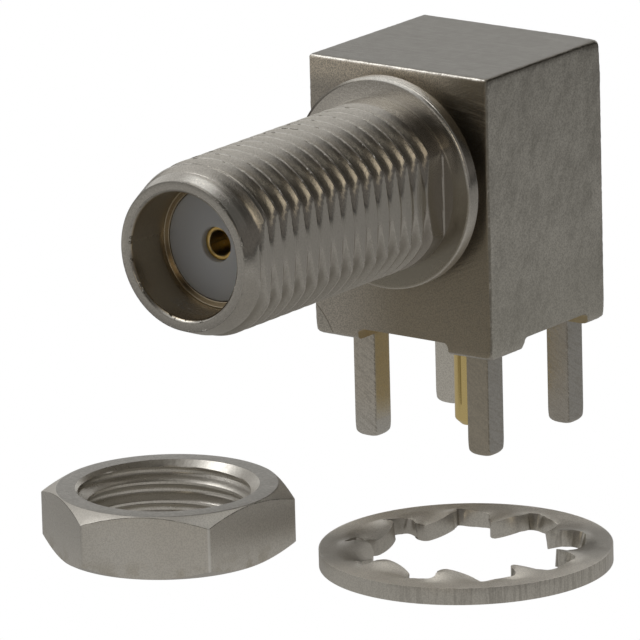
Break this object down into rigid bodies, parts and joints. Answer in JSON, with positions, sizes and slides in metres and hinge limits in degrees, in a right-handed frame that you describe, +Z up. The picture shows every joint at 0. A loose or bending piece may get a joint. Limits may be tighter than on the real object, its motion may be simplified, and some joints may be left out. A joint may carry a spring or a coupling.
{
  "type": "right-angle coaxial jack with panel hardware",
  "caption": "Right-angle board-mounted coaxial jack with a threaded barrel, with its hex nut and internal-tooth lock washer lying in front of it.",
  "frame": {"origin": "on the signal pin's axis, in the plane of the stand-off pads' undersides, which is the board's top face", "axes": "+Z up from the board along the signal pin, -Y the way the threaded barrel points, +X to the right when looking from the barrel's mouth towards the block"},
  "size_m": [0.0195, 0.0258, 0.0145],
  "materials": {
    "plated_block": "satin",
    "plated_barrel": "satin",
    "insulator_white": "matte",
    "gold_contact": "satin",
    "plated_nut": "satin",
    "plated_washer": "satin"
  },
  "bodies": {
    "root": {"body_block": "plated_block", "barrel": "plated_barrel", "barrel_insulator": "insulator_white", "socket_contact": "gold_contact", "signal_pin": "gold_contact", "pin_insulator": "insulator_white", "rear_cap": "plated_block", "hex_nut": "plated_nut", "lock_washer": "plated_washer"}
  },
  "joints": []
}
